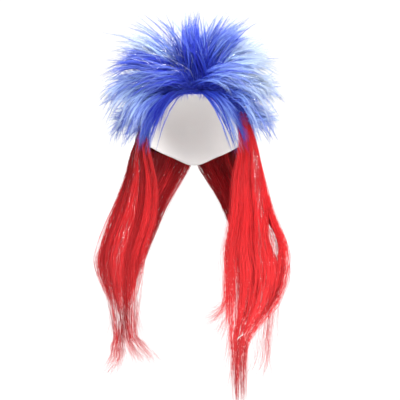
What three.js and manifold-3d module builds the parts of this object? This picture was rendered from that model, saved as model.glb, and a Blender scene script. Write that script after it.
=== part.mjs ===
// Long straight mullet wig in two colours: a blue crown of teased spikes over two long red falls.
// Millimetres, +Z up. The face opening looks along -Y, and left and right are as seen from the front,
// so right is +X. The origin is the inside of the cap's top, where the wearer's crown touches it.
// The long hair is drawn forward: it runs from the ears and the nape over both shoulders.
import * as THREE from "three";
import { mergeVertices } from "three/addons/utils/BufferGeometryUtils.js";
import Module from "manifold-3d";

const wasm = await Module();
wasm.setup();

// Driving dimensions
const HEAD = { halfWidth: 76, halfDepth: 96, crownHeight: 104, napeDrop: 118 };
const CAP_WALL = 1.6; // elastic net with its rows of stitched hair
const PILE = { thickness: 24, edge: 5 }; // dense backcombed hair under the spikes, thin at its edge
const GAP = 0.3; // clearance between neighbouring pieces
const SPIKE_TIP = 1.2; // a spike's radius at its tip
const SPIKE_ROOT = 10; // how far outside the head a spike's axis starts

// Facets
const DOME_TURNS = 30;
const DOME_ROWS = [6, 2, 4]; // to the pile's edge, on to the cap's, and on to the bottom of the head
const SPIKE_SIDES = 7;
const SPIKE_STEPS = 4;
const FALL_SIDES = 10;
const FALL_STEPS = 12;
const TAIL_STEPS = 4;
const MERGE_DISTANCE = 1e-3;
const SLIVER = 0.05; // detail finer than this is dropped where one piece gives way to another

// Lower edges as angles from the top of the head, by the angle from the front, alike on both sides
const EDGES = [
  { turn: 0, cap: 62, pile: 60 },
  { turn: 30, cap: 66, pile: 63 },
  { turn: 55, cap: 84, pile: 78 },
  { turn: 80, cap: 104, pile: 88 },
  { turn: 110, cap: 107, pile: 88 },
  { turn: 145, cap: 114, pile: 88 },
  { turn: 180, cap: 122, pile: 88 },
];

// Blue spikes: turn and drop place the root on the head, in degrees from the front and from the top.
// x, y and z are the tip, rise is how far the hair leaves the head before it bends, r the root radius.
const SPIKES = [
  { name: "temple_left", turn: -36, drop: 66, x: -84, y: -84, z: -146, rise: 30, r: 17 },
  { name: "temple_right", turn: 30, drop: 62, x: 82, y: -86, z: -146, rise: 30, r: 13 },
  { name: "brow_left", turn: -20, drop: 52, x: -114, y: -96, z: -52, rise: 44, r: 20 },
  { name: "brow_centre", turn: -4, drop: 46, x: -10, y: -104, z: 74, rise: 46, r: 20 },
  { name: "brow_right", turn: 20, drop: 50, x: 106, y: -96, z: -40, rise: 44, r: 20 },
  { name: "left_1", turn: -52, drop: 70, x: -104, y: -76, z: -142, rise: 44, r: 19 },
  { name: "left_2", turn: -58, drop: 60, x: -124, y: -70, z: -132, rise: 50, r: 20 },
  { name: "left_3", turn: -66, drop: 54, x: -142, y: -58, z: -104, rise: 56, r: 21 },
  { name: "left_4", turn: -76, drop: 60, x: -154, y: -44, z: -72, rise: 58, r: 22 },
  { name: "left_5", turn: -60, drop: 42, x: -154, y: -44, z: -24, rise: 58, r: 23 },
  { name: "left_6", turn: -78, drop: 34, x: -140, y: -24, z: 32, rise: 56, r: 24 },
  { name: "left_7", turn: -52, drop: 24, x: -104, y: -36, z: 68, rise: 52, r: 21 },
  { name: "right_1", turn: 50, drop: 64, x: 116, y: -76, z: -142, rise: 48, r: 20 },
  { name: "right_2", turn: 60, drop: 56, x: 126, y: -64, z: -104, rise: 54, r: 22 },
  { name: "right_3", turn: 72, drop: 58, x: 134, y: -48, z: -66, rise: 58, r: 23 },
  { name: "right_4", turn: 58, drop: 44, x: 142, y: -46, z: -30, rise: 58, r: 23 },
  { name: "right_5", turn: 74, drop: 40, x: 136, y: -30, z: 2, rise: 58, r: 23 },
  { name: "right_6", turn: 60, drop: 30, x: 116, y: -34, z: 36, rise: 56, r: 22 },
  { name: "right_7", turn: 38, drop: 26, x: 92, y: -48, z: 62, rise: 54, r: 26 },
  { name: "top_left", turn: -28, drop: 16, x: -56, y: -34, z: 76, rise: 50, r: 17 },
  { name: "top_centre", turn: -8, drop: 28, x: -4, y: -56, z: 84, rise: 50, r: 20 },
  { name: "top_right", turn: 50, drop: 14, x: 50, y: -30, z: 80, rise: 50, r: 18 },
  { name: "top_back_left", turn: -110, drop: 15, x: -34, y: 20, z: 84, rise: 50, r: 19 },
  { name: "top_back_right", turn: 125, drop: 15, x: 30, y: 24, z: 82, rise: 50, r: 19 },
  { name: "crown_left", turn: -135, drop: 24, x: -64, y: 58, z: 72, rise: 52, r: 24 },
  { name: "crown_centre", turn: 180, drop: 16, x: 0, y: 52, z: 84, rise: 52, r: 22 },
  { name: "crown_right", turn: 135, drop: 24, x: 64, y: 58, z: 72, rise: 52, r: 24 },
  { name: "side_left", turn: -98, drop: 62, x: -152, y: 16, z: -66, rise: 58, r: 22 },
  { name: "side_right", turn: 98, drop: 62, x: 140, y: 16, z: -60, rise: 58, r: 22 },
  { name: "back_left_1", turn: -116, drop: 44, x: -136, y: 78, z: 22, rise: 60, r: 26 },
  { name: "back_left_2", turn: -148, drop: 44, x: -76, y: 138, z: 30, rise: 60, r: 26 },
  { name: "back_centre_1", turn: 180, drop: 42, x: 0, y: 150, z: 36, rise: 60, r: 26 },
  { name: "back_right_2", turn: 148, drop: 44, x: 76, y: 138, z: 30, rise: 60, r: 26 },
  { name: "back_right_1", turn: 116, drop: 44, x: 136, y: 78, z: 22, rise: 60, r: 26 },
  { name: "back_left_3", turn: -108, drop: 64, x: -152, y: 70, z: -52, rise: 60, r: 26 },
  { name: "back_left_4", turn: -142, drop: 66, x: -98, y: 146, z: -46, rise: 60, r: 27 },
  { name: "back_centre_2", turn: 180, drop: 65, x: 0, y: 178, z: -40, rise: 60, r: 27 },
  { name: "back_right_4", turn: 142, drop: 66, x: 98, y: 146, z: -46, rise: 60, r: 27 },
  { name: "back_right_3", turn: 108, drop: 64, x: 152, y: 70, z: -52, rise: 60, r: 26 },
  { name: "low_left_1", turn: -95, drop: 80, x: -132, y: 22, z: -128, rise: 52, r: 21 },
  { name: "low_left_2", turn: -128, drop: 83, x: -112, y: 106, z: -130, rise: 52, r: 24 },
  { name: "low_centre_left", turn: -162, drop: 83, x: -44, y: 156, z: -130, rise: 52, r: 24 },
  { name: "low_centre_right", turn: 162, drop: 83, x: 44, y: 156, z: -130, rise: 52, r: 24 },
  { name: "low_right_2", turn: 128, drop: 83, x: 112, y: 106, z: -130, rise: 52, r: 24 },
  { name: "low_right_1", turn: 95, drop: 80, x: 132, y: 22, z: -128, rise: 52, r: 21 },
];

// Red falls and tails: each row is a section at height z. Its line runs from the edge nearer the face,
// at (innerX, innerY), to the far edge, at (outerX, outerY), and thick is the hair's depth across it.
const FRONT_LEFT = [
  { z: -98, innerX: -80, innerY: -22, outerX: -80, outerY: 44, thick: 10 },
  { z: -143, innerX: -74, innerY: -34, outerX: -100, outerY: 42, thick: 18 },
  { z: -192, innerX: -63, innerY: -40, outerX: -113, outerY: 34, thick: 22 },
  { z: -249, innerX: -64, innerY: -52, outerX: -136, outerY: 14, thick: 26 },
  { z: -306, innerX: -81, innerY: -66, outerX: -154, outerY: -14, thick: 30 },
  { z: -336, innerX: -85, innerY: -68, outerX: -158, outerY: -26, thick: 30 },
  { z: -372, innerX: -91, innerY: -68, outerX: -146, outerY: -36, thick: 26 },
  { z: -404, innerX: -96, innerY: -66, outerX: -132, outerY: -44, thick: 22 },
  { z: -437, innerX: -97, innerY: -63, outerX: -126, outerY: -50, thick: 16 },
];
const FRONT_RIGHT = [
  { z: -98, innerX: 80, innerY: -22, outerX: 80, outerY: 44, thick: 10 },
  { z: -143, innerX: 70, innerY: -36, outerX: 104, outerY: 42, thick: 18 },
  { z: -192, innerX: 59, innerY: -44, outerX: 115, outerY: 34, thick: 22 },
  { z: -249, innerX: 53, innerY: -58, outerX: 129, outerY: 14, thick: 26 },
  { z: -306, innerX: 38, innerY: -74, outerX: 148, outerY: -14, thick: 32 },
  { z: -345, innerX: 40, innerY: -78, outerX: 152, outerY: -28, thick: 34 },
  { z: -388, innerX: 44, innerY: -78, outerX: 139, outerY: -38, thick: 30 },
  { z: -421, innerX: 49, innerY: -76, outerX: 116, outerY: -48, thick: 26 },
  { z: -453, innerX: 55, innerY: -73, outerX: 91, outerY: -56, thick: 20 },
  { z: -490, innerX: 61, innerY: -70, outerX: 83, outerY: -61, thick: 14 },
  { z: -552, innerX: 67, innerY: -67, outerX: 79, outerY: -63, thick: 5 },
];
const NAPE_LEFT = [
  { z: -96, innerX: -3, innerY: 101, outerX: -78, outerY: 48, thick: 12 },
  { z: -130, innerX: -4, innerY: 100, outerX: -86, outerY: 50, thick: 16 },
  { z: -165, innerX: -9, innerY: 92, outerX: -92, outerY: 52, thick: 18 },
  { z: -210, innerX: -32, innerY: 76, outerX: -104, outerY: 48, thick: 18 },
  { z: -255, innerX: -53, innerY: 50, outerX: -120, outerY: 34, thick: 18 },
  { z: -300, innerX: -70, innerY: 8, outerX: -132, outerY: 14, thick: 16 },
  { z: -350, innerX: -88, innerY: -26, outerX: -134, outerY: -4, thick: 13 },
  { z: -395, innerX: -98, innerY: -38, outerX: -126, outerY: -22, thick: 8 },
];
const TAIL_LEFT_OUTER = [
  { z: -434, innerX: -119, innerY: -56, outerX: -126, outerY: -52, thick: 11 },
  { z: -461, innerX: -120, innerY: -56, outerX: -129, outerY: -53, thick: 9 },
  { z: -482, innerX: -120, innerY: -57, outerX: -131, outerY: -54, thick: 8 },
  { z: -508, innerX: -130, innerY: -60, outerX: -146, outerY: -58, thick: 4 },
];
const TAIL_LEFT_INNER = [
  { z: -434, innerX: -98, innerY: -63, outerX: -112, outerY: -58, thick: 11 },
  { z: -458, innerX: -88, innerY: -66, outerX: -110, outerY: -60, thick: 9 },
  { z: -488, innerX: -60, innerY: -70, outerX: -98, outerY: -64, thick: 4 },
];
const TAIL_RIGHT_OUTER = [
  { z: -408, innerX: 112, innerY: -48, outerX: 126, outerY: -42, thick: 10 },
  { z: -455, innerX: 106, innerY: -48, outerX: 120, outerY: -42, thick: 9 },
  { z: -490, innerX: 102, innerY: -50, outerX: 116, outerY: -44, thick: 8 },
  { z: -526, innerX: 88, innerY: -54, outerX: 104, outerY: -48, thick: 4 },
];

const MATERIALS = {
  cap: new THREE.MeshStandardMaterial({ color: 0xe6e2da, roughness: 0.9, metalness: 0 }),
  blue: new THREE.MeshStandardMaterial({ color: 0x3a49c8, roughness: 0.45, metalness: 0 }),
  red: new THREE.MeshStandardMaterial({ color: 0xd8262e, roughness: 0.4, metalness: 0 }),
};

// A point on the head form, or offset millimetres outside it
function onHead(turn, drop, offset) {
  const out = Math.sin(drop);
  const up = Math.cos(drop);
  const height = up > 0 ? HEAD.crownHeight : HEAD.napeDrop;
  return new THREE.Vector3(
    (HEAD.halfWidth + offset) * out * Math.sin(turn),
    -(HEAD.halfDepth + offset) * out * Math.cos(turn),
    (height + offset) * up - HEAD.crownHeight,
  );
}

// The angle from the top of the head by turn and by share of the way down: 1 is the pile's lower edge,
// 2 the cap's and 3 the bottom of the head
function dropAt(turn, share) {
  const angle = Math.abs(THREE.MathUtils.radToDeg(turn));
  const next = EDGES.findIndex((row) => row.turn >= angle - 1e-6);
  const to = EDGES[next];
  const from = EDGES[Math.max(next - 1, 0)];
  const between = THREE.MathUtils.smoothstep(angle, from.turn, to.turn);
  const stops = [
    0,
    THREE.MathUtils.lerp(from.pile, to.pile, between),
    THREE.MathUtils.lerp(from.cap, to.cap, between),
    180,
  ];
  const stop = Math.min(Math.floor(share), 2);
  return THREE.MathUtils.degToRad(THREE.MathUtils.lerp(stops[stop], stops[stop + 1], share - stop));
}

// A closed geometry with each of its points moved by a map, as a solid
function bent(geometry, map) {
  const from = geometry.getAttribute("position");
  const to = new THREE.Float32BufferAttribute(from.count * 3, 3);
  for (let i = 0; i < from.count; i++) {
    const point = map(new THREE.Vector3().fromBufferAttribute(from, i));
    to.setXYZ(i, point.x, point.y, point.z);
  }
  const moved = new THREE.BufferGeometry().setAttribute("position", to).setIndex(geometry.getIndex());
  const merged = mergeVertices(moved, MERGE_DISTANCE);
  const corners = merged.getIndex().array;
  const kept = [];
  for (let i = 0; i < corners.length; i += 3) {
    const [a, b, c] = corners.slice(i, i + 3);
    if (a !== b && b !== c && c !== a) kept.push(a, b, c);
  }
  return new wasm.Manifold(
    new wasm.Mesh({
      numProp: 3,
      vertProperties: merged.getAttribute("position").array,
      triVerts: new Uint32Array(kept),
    }),
  );
}

// The rows of a dome from the top of the head to the given share of the way down
function domeRows(end) {
  const shares = [];
  for (let stop = 0; stop < end; stop++) {
    for (let row = 0; row < DOME_ROWS[stop]; row++) shares.push(stop + row / DOME_ROWS[stop]);
  }
  return [...shares, end];
}

// A profile of shares and offsets turned about the head's axis and laid on the head. The last row is
// moved down by the given distance.
function turned(profile, end, lower) {
  return bent(new THREE.LatheGeometry(profile, DOME_TURNS), (p) => {
    const turn = Math.atan2(p.x, -p.z);
    const share = Math.hypot(p.x, p.z);
    const extra = share > end - 1e-6 ? lower / HEAD.halfWidth : 0;
    return onHead(turn, dropAt(turn, share) + extra, p.y);
  });
}

// A dome over the head between two offsets, the outer one by share of the way down
function dome(end, inner, outerAt, lower = 0) {
  const shares = domeRows(end);
  const outside = shares.map((share) => new THREE.Vector2(share, outerAt(share)));
  const inside = shares.map((share) => new THREE.Vector2(share, inner)).reverse();
  return turned([...outside, ...inside], end, lower);
}

// The backcombed hair's outside, which rolls in towards its lower edge
function pileOutside(share) {
  return CAP_WALL + THREE.MathUtils.lerp(PILE.thickness, PILE.edge, share ** 4);
}

// The whole head with the cap on it, which no hair may enter
function headForm(grow) {
  const profile = domeRows(3).map((share) => new THREE.Vector2(share, CAP_WALL + grow));
  return turned(profile, 3, 0);
}

// How far a grown piece runs on past its two ends, by the share of the way along it
function beyond(along, grow) {
  if (along < 1e-6) return -grow;
  return along > 1 - 1e-6 ? grow : 0;
}

// A round spike on a curve that leaves the head square and then bends to its tip
function spike(row, grow) {
  const turn = THREE.MathUtils.degToRad(row.turn);
  const drop = THREE.MathUtils.degToRad(row.drop);
  const path = new THREE.QuadraticBezierCurve3(
    onHead(turn, drop, SPIKE_ROOT),
    onHead(turn, drop, SPIKE_ROOT + row.rise),
    new THREE.Vector3(row.x, row.y, row.z),
  );
  const frames = path.computeFrenetFrames(SPIKE_STEPS, false);
  return bent(new THREE.CylinderGeometry(1, 1, 1, SPIKE_SIDES, SPIKE_STEPS), (p) => {
    const along = p.y + 0.5;
    const step = Math.round(along * SPIKE_STEPS);
    const radius = SPIKE_TIP + (row.r - SPIKE_TIP) * Math.cos((along * Math.PI) / 2) + grow;
    return path
      .getPointAt(along)
      .addScaledVector(frames.tangents[step], beyond(along, grow))
      .addScaledVector(frames.binormals[step], p.x * radius)
      .addScaledVector(frames.normals[step], p.z * radius);
  });
}

// A flat hank of long hair through its table of sections, each an oval
function fall(sections, steps, grow) {
  const curve = (x, y) =>
    new THREE.CatmullRomCurve3(sections.map((row) => new THREE.Vector3(row[x], row[y], row.z)));
  const inner = curve("innerX", "innerY");
  const outer = curve("outerX", "outerY");
  const last = sections.length - 1;
  const depth = (along) => {
    const row = Math.min(Math.floor(along * last), last - 1);
    return THREE.MathUtils.lerp(sections[row].thick, sections[row + 1].thick, along * last - row);
  };
  return bent(new THREE.CylinderGeometry(1, 1, 1, FALL_SIDES, steps), (p) => {
    const along = p.y + 0.5;
    const from = inner.getPoint(along);
    const to = outer.getPoint(along);
    const across = to.clone().sub(from);
    const half = across.length() / 2 + grow;
    const down = inner.getTangent(along).add(outer.getTangent(along)).normalize();
    const through = across.normalize().clone().cross(down).normalize();
    return from
      .lerp(to, 0.5)
      .addScaledVector(down, beyond(along, grow))
      .addScaledVector(across, p.x * half)
      .addScaledVector(through, p.z * (depth(along) / 2 + grow));
  });
}

// The same sections on the other side of the head, with the edges kept in their order
function mirrored(sections) {
  return sections.map((row) => ({ ...row, innerX: -row.innerX, outerX: -row.outerX }));
}

// A solid's mesh for the scene, under its own name
function named(name, solid, material) {
  const { vertProperties, triVerts } = solid.getMesh();
  const geometry = new THREE.BufferGeometry()
    .setAttribute("position", new THREE.BufferAttribute(vertProperties, 3))
    .setIndex(new THREE.BufferAttribute(triVerts, 1));
  geometry.computeVertexNormals();
  const mesh = new THREE.Mesh(geometry, material);
  mesh.name = name;
  return mesh;
}

// Every piece of hair, in the order in which it is laid on. Each gives way to those before it.
const hair = [
  {
    name: "crown_pile",
    material: MATERIALS.blue,
    make: (grow) => dome(1, -CAP_WALL, (share) => pileOutside(share) + grow, grow),
  },
  ...[
    ["fall_front_left", FRONT_LEFT, FALL_STEPS],
    ["fall_front_right", FRONT_RIGHT, FALL_STEPS],
    ["fall_nape_left", NAPE_LEFT, FALL_STEPS],
    ["fall_nape_right", mirrored(NAPE_LEFT), FALL_STEPS],
    ["tail_left_outer", TAIL_LEFT_OUTER, TAIL_STEPS],
    ["tail_left_inner", TAIL_LEFT_INNER, TAIL_STEPS],
    ["tail_right_outer", TAIL_RIGHT_OUTER, TAIL_STEPS],
  ].map(([name, sections, steps]) => ({
    name,
    material: MATERIALS.red,
    make: (grow) => fall(sections, steps, grow),
  })),
  ...SPIKES.map((row) => ({
    name: "spike_" + row.name,
    material: MATERIALS.blue,
    make: (grow) => spike(row, grow),
  })),
];

const wig = new THREE.Group();
wig.name = "long_mullet_wig";
wig.add(named("cap", dome(2, 0, () => CAP_WALL), MATERIALS.cap));

const laid = [headForm(GAP)];
for (const piece of hair) {
  let solid = piece.make(0);
  for (const other of laid) solid = solid.subtract(other);
  const bodies = solid.simplify(SLIVER).decompose();
  const [largest] = bodies.sort((a, b) => b.volume() - a.volume());
  wig.add(named(piece.name, largest, piece.material));
  laid.push(piece.make(GAP));
}

export default wig;
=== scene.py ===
import math
from types import SimpleNamespace as Kind

import bpy
import numpy as np
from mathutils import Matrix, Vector


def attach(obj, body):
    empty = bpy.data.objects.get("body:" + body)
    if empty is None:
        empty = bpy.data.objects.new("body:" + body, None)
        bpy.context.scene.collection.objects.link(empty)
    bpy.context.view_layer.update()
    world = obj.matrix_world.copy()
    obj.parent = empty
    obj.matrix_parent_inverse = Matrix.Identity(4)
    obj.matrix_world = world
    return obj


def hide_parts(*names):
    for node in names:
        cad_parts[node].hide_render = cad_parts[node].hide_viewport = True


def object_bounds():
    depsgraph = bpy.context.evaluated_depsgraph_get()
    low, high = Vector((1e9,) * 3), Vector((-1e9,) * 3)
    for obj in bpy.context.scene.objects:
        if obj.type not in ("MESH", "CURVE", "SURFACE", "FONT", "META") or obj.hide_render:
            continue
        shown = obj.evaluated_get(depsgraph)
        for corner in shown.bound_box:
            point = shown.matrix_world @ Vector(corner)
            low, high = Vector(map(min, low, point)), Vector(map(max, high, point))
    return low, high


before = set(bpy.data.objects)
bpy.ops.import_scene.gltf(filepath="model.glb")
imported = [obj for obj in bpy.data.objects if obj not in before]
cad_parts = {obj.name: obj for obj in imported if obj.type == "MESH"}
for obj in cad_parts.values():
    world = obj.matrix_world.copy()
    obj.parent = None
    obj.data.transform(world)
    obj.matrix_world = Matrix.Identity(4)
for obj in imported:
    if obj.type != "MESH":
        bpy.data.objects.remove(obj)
cad_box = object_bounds()
SEED = 11
rng = np.random.default_rng(SEED)
uniform = rng.uniform
norm = np.linalg.norm

MM = 0.001
FULL_TURN = 2 * math.pi
UV_MAP = "OFBake"
UV_RANGE = (0.001, 0.999)
TONE_RANGE = (0.02, 0.98)

# The inside of the cap, and what stands on it
HALF_WIDTH = 0.076
HALF_DEPTH = 0.096
CROWN_HEIGHT = 0.104  # from the widest level up to the top
NAPE_DROP = 0.118  # from the widest level down to where the round would close
CAP_WALL = 0.0016
HAIR_GAP = 0.4 * MM  # between the cap and the roots of the hair
SPIKE_ROOT = 10  # millimetres from the inside of the cap to where a spike's axis starts

# Lower edges in degrees from the top of the cap, by the angle from the front: turn, cap, pile
CAP_EDGE = 1
PILE_EDGE = 2
EDGES = np.array([
    (0, 62, 60),
    (30, 66, 63),
    (55, 84, 78),
    (80, 104, 88),
    (110, 107, 88),
    (145, 114, 88),
    (180, 122, 88),
])

# Spikes: name, turn, drop, tip x, y, z, rise, root radius, and tone from 0, dark, to 1, pale
# The tones are partly the hair's own mix of dark and pale and partly painted light and shade: paler to the
# right, where the key light falls, and darker at the swirl and over the left brow and temple
SPIKES = [
    ("temple_left", -36, 66, -84, -84, -146, 30, 17, 0.12),
    ("temple_right", 30, 62, 77, -88, -146, 30, 13, 0.45),
    ("brow_left", -20, 52, -114, -96, -52, 44, 20, 0.2),
    ("brow_centre", -4, 46, -10, -104, 74, 46, 20, 0.08),
    ("brow_right", 20, 50, 106, -96, -40, 44, 20, 0.5),
    ("left_1", -52, 70, -104, -76, -142, 44, 19, 0.55),
    ("left_2", -58, 60, -124, -70, -132, 50, 20, 0.75),
    ("left_3", -66, 54, -142, -58, -104, 56, 21, 0.8),
    ("left_4", -76, 60, -154, -44, -72, 58, 22, 0.7),
    ("left_5", -60, 42, -154, -44, -24, 58, 23, 0.22),
    ("left_6", -78, 34, -140, -24, 32, 56, 24, 0.9),
    ("left_7", -52, 24, -104, -36, 68, 52, 21, 0.5),
    ("right_1", 50, 64, 116, -76, -142, 48, 20, 0.7),
    ("right_2", 60, 56, 126, -64, -104, 54, 22, 0.95),
    ("right_3", 72, 58, 134, -48, -66, 58, 23, 1),
    ("right_4", 58, 44, 142, -46, -30, 58, 23, 1),
    ("right_5", 74, 40, 136, -30, 2, 58, 23, 0.95),
    ("right_6", 60, 30, 116, -34, 36, 56, 22, 1),
    ("right_7", 38, 26, 92, -48, 62, 54, 26, 0.3),
    ("top_left", -28, 16, -56, -34, 76, 50, 17, 0.55),
    ("top_centre", -8, 28, -4, -56, 84, 50, 20, 0.2),
    ("top_right", 50, 14, 50, -30, 80, 50, 18, 0.35),
    ("top_back_left", -110, 15, -34, 20, 84, 50, 19, 0.45),
    ("top_back_right", 125, 15, 30, 24, 82, 50, 19, 0.45),
    ("crown_left", -135, 24, -64, 58, 72, 52, 24, 0.5),
    ("crown_centre", 180, 16, 0, 52, 84, 52, 22, 0.4),
    ("crown_right", 135, 24, 64, 58, 72, 52, 24, 0.55),
    ("side_left", -98, 62, -152, 16, -66, 58, 22, 0.6),
    ("side_right", 98, 62, 140, 16, -60, 58, 22, 0.9),
    ("back_left_1", -116, 44, -136, 78, 22, 60, 26, 0.5),
    ("back_left_2", -148, 44, -76, 138, 30, 60, 26, 0.45),
    ("back_centre_1", 180, 42, 0, 150, 36, 60, 26, 0.45),
    ("back_right_2", 148, 44, 76, 138, 30, 60, 26, 0.5),
    ("back_right_1", 116, 44, 136, 78, 22, 60, 26, 0.6),
    ("back_left_3", -108, 64, -152, 70, -52, 60, 26, 0.5),
    ("back_left_4", -142, 66, -98, 146, -46, 60, 27, 0.45),
    ("back_centre_2", 180, 65, 0, 178, -40, 60, 27, 0.45),
    ("back_right_4", 142, 66, 98, 146, -46, 60, 27, 0.5),
    ("back_right_3", 108, 64, 152, 70, -52, 60, 26, 0.6),
    ("low_left_1", -95, 80, -132, 22, -128, 52, 21, 0.45),
    ("low_left_2", -128, 83, -112, 106, -130, 52, 24, 0.35),
    ("low_centre_left", -162, 83, -44, 156, -130, 52, 24, 0.35),
    ("low_centre_right", 162, 83, 44, 156, -130, 52, 24, 0.35),
    ("low_right_2", 128, 83, 112, 106, -130, 52, 24, 0.4),
    ("low_right_1", 95, 80, 132, 22, -128, 52, 21, 0.7),
]

# Long hair: sections in millimetres, as z, inner x, inner y, outer x, outer y, thickness
FRONT_LEFT = [
    (-98, -80, -22, -80, 44, 10),
    (-143, -74, -34, -100, 42, 18),
    (-192, -63, -40, -113, 34, 22),
    (-249, -64, -52, -136, 14, 26),
    (-306, -81, -66, -154, -14, 30),
    (-336, -85, -68, -158, -26, 30),
    (-372, -91, -68, -146, -36, 26),
    (-404, -96, -66, -132, -44, 22),
    (-437, -97, -63, -126, -50, 16),
]
FRONT_RIGHT = [
    (-98, 80, -22, 80, 44, 10),
    (-143, 70, -36, 104, 42, 18),
    (-192, 59, -44, 115, 34, 22),
    (-249, 53, -58, 129, 14, 26),
    (-306, 38, -74, 148, -14, 32),
    (-345, 40, -78, 152, -28, 34),
    (-388, 44, -78, 139, -38, 30),
    (-421, 49, -76, 116, -48, 26),
    (-453, 55, -73, 91, -56, 20),
    (-490, 59, -70, 86, -60, 14),
    (-552, 64, -68, 82, -62, 5),
]
NAPE_LEFT = [
    (-96, 3, 101, -78, 48, 12),
    (-130, 2, 100, -86, 48, 16),
    (-165, -4, 92, -94, 46, 18),
    (-210, -32, 76, -106, 38, 18),
    (-255, -53, 50, -122, 22, 18),
    (-300, -70, 8, -126, 2, 16),
    (-350, -88, -26, -128, -16, 13),
    (-395, -98, -38, -126, -28, 8),
]
# Outer x of the right hair, by z, where the front fall has a gap
CLEAR_OF_GAP = {-255: 116, -300: 112, -350: 118}
NAPE_RIGHT = [
    (z, -inner_x, inner_y, CLEAR_OF_GAP.get(z, -outer_x), outer_y, thick)
    for z, inner_x, inner_y, outer_x, outer_y, thick in NAPE_LEFT
]
TAIL_LEFT_OUTER = [
    (-434, -119, -56, -126, -52, 11),
    (-461, -120, -56, -129, -53, 9),
    (-482, -120, -57, -131, -54, 8),
    (-508, -130, -60, -146, -58, 4),
]
TAIL_LEFT_INNER = [
    (-434, -98, -63, -112, -58, 11),
    (-458, -88, -66, -110, -60, 9),
    (-488, -60, -70, -98, -64, 4),
]
TAIL_RIGHT_OUTER = [
    (-408, 112, -48, 126, -42, 10),
    (-455, 106, -48, 120, -42, 9),
    (-490, 102, -50, 116, -44, 8),
    (-526, 88, -54, 104, -48, 4),
]


# Small geometry helpers
SWIRL_TURN = 11  # where the hair of the front parts to all sides
SWIRL_DROP = 50
MIDDLE = np.array([0, 0, -CROWN_HEIGHT])  # of the cap's round
STEEP = 0.9  # upright share from which a direction counts as steep


def unit(vectors):
    return vectors / norm(vectors, axis=-1, keepdims=True)


def toned(tones):
    """Tones kept inside the tone map."""
    return np.clip(tones, *TONE_RANGE)


def on_cap(turn, drop, offset):
    """Points on the inside of the cap, or offset outside it, from angles in degrees."""
    turn = np.radians(turn)
    drop = np.radians(drop)
    up = np.cos(drop)
    height = np.where(up > 0, CROWN_HEIGHT, NAPE_DROP)
    return np.stack([
        (HALF_WIDTH + offset) * np.sin(drop) * np.sin(turn),
        -(HALF_DEPTH + offset) * np.sin(drop) * np.cos(turn),
        (height + offset) * up - CROWN_HEIGHT,
    ], axis=-1)


def edge_drop(turn, column):
    """The cap's or the pile's lower edge at an angle from the front, in degrees from the top."""
    angle = np.abs((np.asarray(turn, float) + 180) % 360 - 180)
    slopes = np.gradient(EDGES[:, column], EDGES[:, 0])
    slopes[[0, -1]] = 0
    row = np.clip(np.searchsorted(EDGES[:, 0], angle, side="right") - 1, 0, len(EDGES) - 2)
    width = EDGES[row + 1, 0] - EDGES[row, 0]
    t = (angle - EDGES[row, 0]) / width
    blend = t * t * (3 - 2 * t)
    ends = EDGES[row, column] * (1 - blend) + EDGES[row + 1, column] * blend
    return ends + width * t * (1 - t) * ((1 - t) * slopes[row] - t * slopes[row + 1])


SWIRL = on_cap(SWIRL_TURN, SWIRL_DROP, 0)


def rooted(points, offset, inset):
    """Points moved onto the cap, offset outside its inside and at least inset degrees above the edge of
    the pile."""
    local = points - MIDDLE
    turn = np.degrees(np.arctan2(local[:, 0] / HALF_WIDTH, -local[:, 1] / HALF_DEPTH))
    height = np.where(local[:, 2] > 0, CROWN_HEIGHT, NAPE_DROP)
    out = np.hypot(local[:, 0] / HALF_WIDTH, local[:, 1] / HALF_DEPTH)
    drop = np.degrees(np.arctan2(out, local[:, 2] / height))
    return on_cap(turn, np.minimum(drop, edge_drop(turn, PILE_EDGE) - inset), offset)


def kept_off_cap(points, offset):
    """Points that lie inside the cap moved out of it, each to its own offset."""
    local = points - MIDDLE
    height = np.where(local[..., 2] > 0, CROWN_HEIGHT, NAPE_DROP)
    width = np.full_like(height, HALF_WIDTH)
    depth = np.full_like(height, HALF_DEPTH)
    sizes = np.stack([width, depth, height], axis=-1) + offset[..., None]
    level = norm(local / sizes, axis=-1, keepdims=True)
    return local / np.minimum(level, 1) + MIDDLE


def away_from_swirl(points):
    """Unit vectors from the swirl to the points: the way that the crown is combed."""
    return unit(points - SWIRL)


def across(direction):
    """Two unit vectors square to a direction and to each other."""
    steep = abs(direction[2]) > STEEP * norm(direction)
    helper = np.array([1.0, 0, 0]) if steep else np.array([0, 0, 1.0])
    first = unit(np.cross(direction, helper))
    return first, unit(np.cross(direction, first))


def disc(count, radius):
    """Random places in a disc, as two columns."""
    angle = uniform(0, FULL_TURN, count)
    reach = radius * np.sqrt(uniform(0, 1, count))
    return np.stack([reach * np.cos(angle), reach * np.sin(angle)], axis=1)


# Strands: closed three-sided tubes that taper to a point
TUBE_SIDES = 3
COLUMN = 0.004  # half the width of a strand's column in the tone map
WAVE_RATES = (0.6, 1.4)  # of the strands, as shares of the given number of waves


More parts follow.
